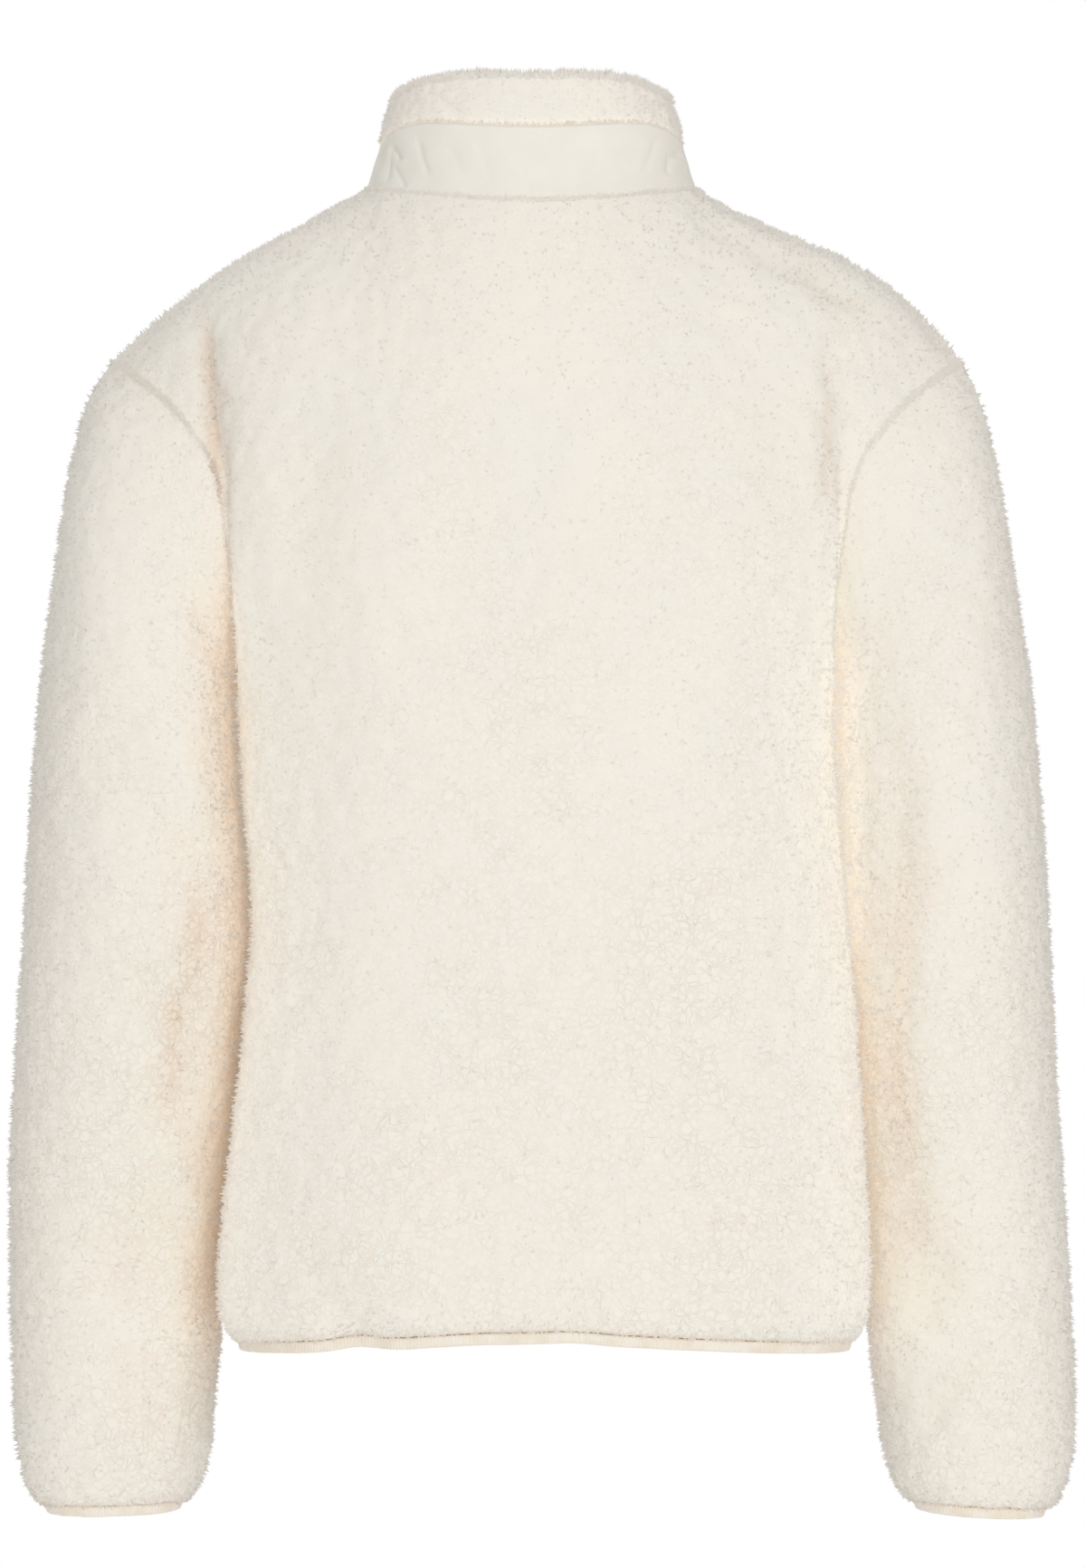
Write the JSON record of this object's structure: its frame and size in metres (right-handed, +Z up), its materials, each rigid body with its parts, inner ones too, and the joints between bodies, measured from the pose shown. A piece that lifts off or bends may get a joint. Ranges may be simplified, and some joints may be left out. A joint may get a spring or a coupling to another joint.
{
  "type": "sherpa jacket",
  "caption": "Hip-length sherpa jacket with dropped shoulders, a woven stand collar under a pile band, bound hem and cuffs and a full front zip, filled out as if worn.",
  "frame": {"origin": "middle of the neck base, level with the neck seam, where the wearer's neck and shoulders hold the jacket", "axes": "+Z up, the front faces -Y, the wearer's left is +X"},
  "size_m": [0.6085, 0.2495, 0.8188],
  "materials": {
    "sherpa": "curly cream pile",
    "woven": "smooth ivory plain weave",
    "binding": "ribbed elastic binding",
    "tape": "woven zip tape",
    "metal": "satin metal"
  },
  "bodies": {
    "jacket": {"back_panel": "sherpa", "front_left": "sherpa", "front_right": "sherpa", "sleeve_left": "sherpa", "sleeve_right": "sherpa", "collar_band": "sherpa", "collar_woven": "woven", "hem_binding": "binding", "cuff_binding_left": "binding", "cuff_binding_right": "binding", "zip_tape_left": "tape", "zip_tape_right": "tape", "zip_slider": "metal"},
    "zip_pull": {"zip_pull_tab": "metal"}
  },
  "joints": [
    {"name": "pull_swing", "type": "hinge", "parent": "jacket", "child": "zip_pull", "pos_m": [0, -0.07665, -0.03493], "axis": [-1, 0, 0], "range_deg": [0, 160]}
  ]
}
